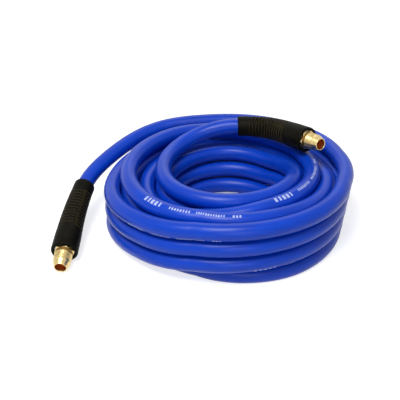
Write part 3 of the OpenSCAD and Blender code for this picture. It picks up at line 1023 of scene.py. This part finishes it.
class AIRHOSE_OT_nipples(bpy.types.Operator):
    """Turns the two brass nipples, with their hexagons, threads and barbs"""

    bl_idname = "airhose.nipples"
    bl_label = "Nipples"

    def execute(self, context):
        size, hose = settings().nipple, settings().hose
        tail, thread = size.tail_bore / 2, size.thread / 2
        undercut = thread - UNDERCUT_DEPTH
        neck, barb = tail + size.tail_wall, hose.bore / 2 - size.fit
        corner = hex_corner(size)
        seat, front = -size.hex_seat, size.hex_length - size.hex_seat
        stop, low = hose_stop(), -size.hex_seat - size.ferrule_length
        start = front + size.undercut
        end_of_thread = start + size.thread_length
        nose = end_of_thread + size.nose_length
        barb_step = (stop - low) / size.barbs
        profile = [(tail, low), (tail + EASE, low)]
        for foot in low + barb_step * np.arange(size.barbs):
            profile += [(neck, foot), (barb, foot + BARB_PEAK * barb_step)]
            profile += [(neck, foot + BARB_END * barb_step)]
        profile += [(neck, stop), (neck, seat), (corner - EASE, seat), (corner, seat + EASE)]
        chamfer = size.hex_chamfer
        profile += [(corner, z) for z in np.linspace(seat + EASE, front - chamfer, 5)[1:]]
        quarters = (0.25, 0.5, 0.75, 1)
        profile += [(corner - 2 * chamfer * t, front - chamfer * (1 - t)) for t in quarters]
        profile += [(undercut + FILLET, front), (undercut, front + FILLET)]
        profile += [(undercut, start - RUN_IN)]
        rows = np.arange(start, end_of_thread, THREAD_ROW)
        middle = (start + end_of_thread) / 2
        profile += [(thread - (z - middle) * TAPER, z) for z in rows]
        last = thread - (end_of_thread - middle) * TAPER
        tip, mouth = size.nose / 2, size.bore / 2
        cone = np.linspace(0, 1, 9)[:-1, None]
        foot, top = np.array([last, end_of_thread]), np.array([tip, nose - LIP])
        profile += (foot + (top - foot) * cone).tolist()
        soft = LIP * 0.3
        profile += [(tip, nose - LIP), (tip - soft, nose - soft), (tip - LIP, nose)]
        profile += [(mouth + LIP, nose), (mouth + soft, nose - soft), (mouth, nose - LIP)]
        inside_from = len(profile) - 1
        bottom = nose - size.bore_depth
        profile += [(mouth, z) for z in np.linspace(nose - LIP, bottom, 8)[1:]]
        profile += [(tail, z) for z in np.linspace(bottom - SLOPE, low, 6)[:-1]]

        def hexagonal(radius, height, turn):
            flat = size.hex_flats / 2 / np.cos(turn % (math.pi / 3) - math.pi / 6)
            there = (height > seat - NEAR) & (height < front + NEAR) & (radius > undercut + EASE)
            return np.where(there, np.minimum(radius, flat), radius)

        inside = np.clip((np.arange(len(profile)) - inside_from) / 2, 0, 1)
        radius, height = np.array(profile).T
        # the undercut is hollow, for tarnish and painted shade there
        groove = (height > front - NEAR) & (height < start - NEAR) & (radius < undercut + EASE)
        lengths = {
            "Start": start,
            "End": end_of_thread,
            "Pitch": size.pitch,
            "Depth": size.depth,
            "Fade": size.pitch,
            "Bore": mouth,
        }
        tree, inputs = thread_rule(lengths), {**lengths, "Material": turned_brass(size)}
        for end in FITTINGS:
            mesh = turned(f"nipple_{end}", profile, size.sides, hexagonal)
            for name, value in (("inside", inside), ("hollow", groove.astype(float))):
                layer = mesh.attributes.new(name, "FLOAT", "POINT")
                layer.data.foreach_set("value", np.repeat(value, size.sides))
            made = grown(mesh, tree, inputs, end, sharp=32, name="turned_nipple")
            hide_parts(f"nipple_{end}")
            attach(made, ROOT)
        return {"FINISHED"}


class AIRHOSE_OT_ferrules(bpy.types.Operator):
    """Gives the ferrules their steel"""

    bl_idname = "airhose.ferrules"
    bl_label = "Ferrules"

    def execute(self, context):
        paint = pressed_steel(settings().nipple)
        for end in FITTINGS:
            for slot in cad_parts[f"ferrule_{end}"].material_slots:
                slot.material = paint
        return {"FINISHED"}


class AIRHOSE_OT_declare(bpy.types.Operator):
    """Takes the stored route off the hose again"""

    bl_idname = "airhose.declare"
    bl_label = "Cord facts"

    def execute(self, context):
        hose, made = settings().hose, bpy.data.objects["hose"]
        del made["route"]
        return {"FINISHED"}


# Soft round lamps: name, place, the point that each faces, size in metres, power in watts
LAMPS = (
    ("key", (-0.25, -0.5, 1.1), (0, 0, 0.04), 0.6, 11.5),
    ("front", (0.1, -1.1, 0.42), (0, 0, 0.04), 0.6, 2.0),
    ("back", (0.0, 1.1, 1.0), (0, 0, 0.05), 0.8, 2.0),
)
SQUARE, FLOOR_HALF = ((-1, -1), (1, -1), (1, 1), (-1, 1)), 4.0
# Where the floor's glow is full, as a share of the eye, and where it goes on to plain white
GLOW_RISE, OUTSKIRTS = 1.4, (0.4, 2.5)


class AIRHOSE_OT_studio(bpy.types.Operator):
    """Lays the floor and sets up the light"""

    bl_idname = "airhose.studio"
    bl_label = "Studio"

    def execute(self, context):
        studio = settings().studio
        context.scene.view_settings.view_transform = "Standard"
        self.lay_floor(studio)
        self.light_sky(studio)
        for lamp in LAMPS:
            self.hang(*lamp)
        return {"FINISHED"}

    def hang(self, name, place, target, size, power):
        data = bpy.data.lights.new(name, "AREA")
        data.shape, data.size, data.energy = "DISK", size, power
        made = added(name, data)
        made.location = place
        way = Vector(target) - made.location
        made.rotation_euler = way.to_track_quat("-Z", "Y").to_euler()

    def seen(self, net):
        """1 where the camera, a reflection or glass looks, 0 for the light on the object."""
        rays = net.add("ShaderNodeLightPath").outputs
        camera, glossy, through = (
            Value(net, rays[f"Is {kind} Ray"]) for kind in ("Camera", "Glossy", "Transmission")
        )
        return camera.math("MAXIMUM", glossy).math("MAXIMUM", through)

    def light_sky(self, studio):
        world = bpy.data.worlds.new("sky")
        bpy.context.scene.world = world
        world.use_nodes = True
        net = Net(world.node_tree)
        strength = studio.sky + self.seen(net) * (1 - studio.sky)
        net.connect(net.tree.nodes["Background"], {"Color": WHITE, "Strength": strength})

    def lay_floor(self, studio):
        mesh = bpy.data.meshes.new("floor")
        corners = [(x * FLOOR_HALF, y * FLOOR_HALF, 0) for x, y in SQUARE]
        mesh.from_pydata(corners, [], [range(4)])
        floor = added("floor", mesh)
        made, net, shader = material("pale_floor")
        place = net.place()
        cloud, dull = net.noise(place, scale=3, detail=2), toned(studio.floor, 0.985)
        base = net.blend(cloud, studio.floor, dull)
        net.connect(shader, {"Base Color": base, "Roughness": 0.9, SHINE: 0.0})
        x, y, _ = net.parts(place)
        x, y = x + MIDDLE[0].item(), y + MIDDLE[1].item()
        far = (x * x + y * y).math("SQRT")
        strength = far.rises(studio.eye, studio.eye * GLOW_RISE) * studio.glow
        strength = strength + far.rises(*OUTSKIRTS) * (1 - studio.glow)
        sockets = {"Color": WHITE, "Strength": self.seen(net) * strength}
        glow = net.add("ShaderNodeEmission", sockets).outputs[0]
        both = net.add("ShaderNodeAddShader", {0: shader.outputs[0], 1: glow}).outputs[0]
        net.connect(net.tree.nodes["Material Output"], {"Surface": both})
        mesh.materials.append(made)


class AIRHOSE_PT_panel(bpy.types.Panel):
    """Sizes, finishes and pieces of the air hose"""

    bl_idname = "AIRHOSE_PT_panel"
    bl_label = "Coiled air hose"
    bl_space_type = "VIEW_3D"
    bl_region_type = "UI"
    bl_category = "Air hose"

    def draw(self, context):
        for part in AirHoseSettings.__annotations__:
            group, box = getattr(settings(), part), self.layout.box()
            for name in group.__annotations__:
                box.prop(group, name)
        for step in STEPS:
            self.layout.operator(step.bl_idname)


STEPS = (
    AIRHOSE_OT_camera,
    AIRHOSE_OT_hose,
    AIRHOSE_OT_restrictors,
    AIRHOSE_OT_nipples,
    AIRHOSE_OT_ferrules,
    AIRHOSE_OT_declare,
    AIRHOSE_OT_studio,
)
SETTINGS = (HoseSettings, PrintSettings, RestrictorSettings, NippleSettings, StudioSettings)
CLASSES = (*SETTINGS, AirHoseSettings, *STEPS, AIRHOSE_PT_panel)


def register():
    for made in CLASSES:
        bpy.utils.register_class(made)
    bpy.types.Scene.air_hose = bpy.props.PointerProperty(type=AirHoseSettings)


def unregister():
    del bpy.types.Scene.air_hose
    for made in reversed(CLASSES):
        bpy.utils.unregister_class(made)


def main():
    register()
    for step in STEPS:
        group, name = step.bl_idname.split(".")
        getattr(getattr(bpy.ops, group), name)()


if __name__ == "__main__":
    main()
